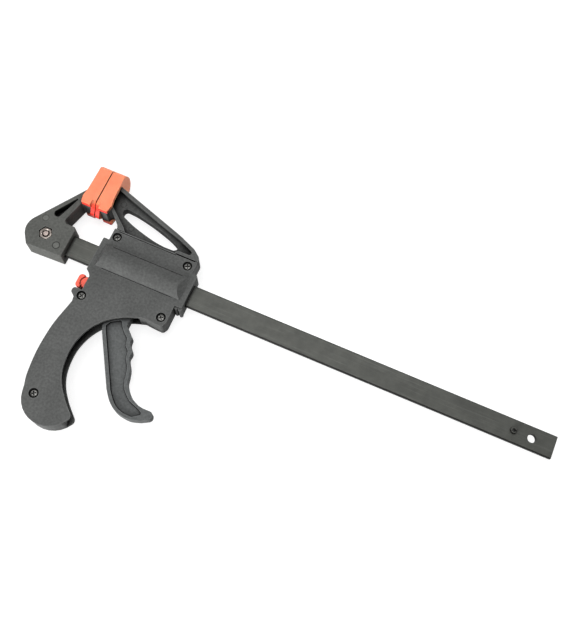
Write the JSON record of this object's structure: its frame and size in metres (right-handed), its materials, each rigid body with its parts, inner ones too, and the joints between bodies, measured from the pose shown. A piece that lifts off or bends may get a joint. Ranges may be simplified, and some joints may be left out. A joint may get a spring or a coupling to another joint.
{
  "type": "quick release bar clamp",
  "caption": "One-handed bar clamp: pistol grip with trigger and release button sliding on a flat steel bar, fixed jaw at one end, soft jaw pads.",
  "frame": {"origin": "middle of the bounding box's base: the clamp lies on its back, its front face up, jaws closed", "axes": "+X along the bar from the fixed jaw to the tail, +Y from the handle to the jaw tips, +Z out of the front face"},
  "size_m": [0.4853, 0.2309, 0.0286],
  "materials": {
    "black_steel": "black oxide flat steel, worn semi-matt",
    "dark_steel": "blackened steel",
    "bolt_steel": "plain steel",
    "plate_steel": "ground steel",
    "spring_steel": "spring wire",
    "jaw_plastic": "dark grey glass-filled nylon, fine spark texture",
    "housing_plastic": "dark grey glass-filled nylon, fine spark texture",
    "trigger_plastic": "dark grey glass-filled nylon, fine spark texture",
    "pad_rubber": "orange soft thermoplastic rubber, matt",
    "button_plastic": "orange-red moulded plastic"
  },
  "bodies": {
    "bar_body": {"bar": "black_steel", "stop_pin": "dark_steel", "fixed_jaw": "jaw_plastic", "jaw_bolt": "bolt_steel", "jaw_nut": "dark_steel", "jaw_washer": "plate_steel", "fixed_jaw_pad": "pad_rubber"},
    "head": {"rear_housing": "housing_plastic", "front_cover": "housing_plastic", "cover_screws": "dark_steel", "moving_jaw_pad": "pad_rubber", "trigger_pin": "plate_steel", "drive_spring": "spring_steel", "brake_spring": "spring_steel"},
    "trigger_body": {"trigger": "trigger_plastic"},
    "drive": {"drive_plate_front": "plate_steel", "drive_plate_rear": "plate_steel", "spring_washer": "plate_steel"},
    "release": {"brake_plate": "plate_steel", "release_button": "button_plastic"}
  },
  "joints": [
    {"name": "head_slide", "type": "slide", "parent": "bar_body", "child": "head", "axis": [1, 0, 0], "range_m": [0, 0.291]},
    {"name": "trigger_squeeze", "type": "hinge", "parent": "head", "child": "trigger_body", "pos_m": [-0.12875, 0.00565, 0.0143], "axis": [0, 0, -1], "range_deg": [0, 24], "stiffness_Nm_per_rad": 1.2, "springref_deg": -17.19},
    {"name": "drive_feed", "type": "slide", "parent": "head", "child": "drive", "axis": [1, 0, 0], "range_m": [0, 0.0059], "deforming": ["drive_spring"]},
    {"name": "release_press", "type": "hinge", "parent": "head", "child": "release", "pos_m": [-0.16525, 0.0485, 0.0143], "axis": [0, 0, 1], "range_deg": [0, 4], "stiffness_Nm_per_rad": 2, "springref_deg": -8.59, "deforming": ["brake_spring"]}
  ],
  "couplings": [
    {"joint": "drive_feed", "follows": "trigger_squeeze", "m_per_rad": 0.014}
  ]
}
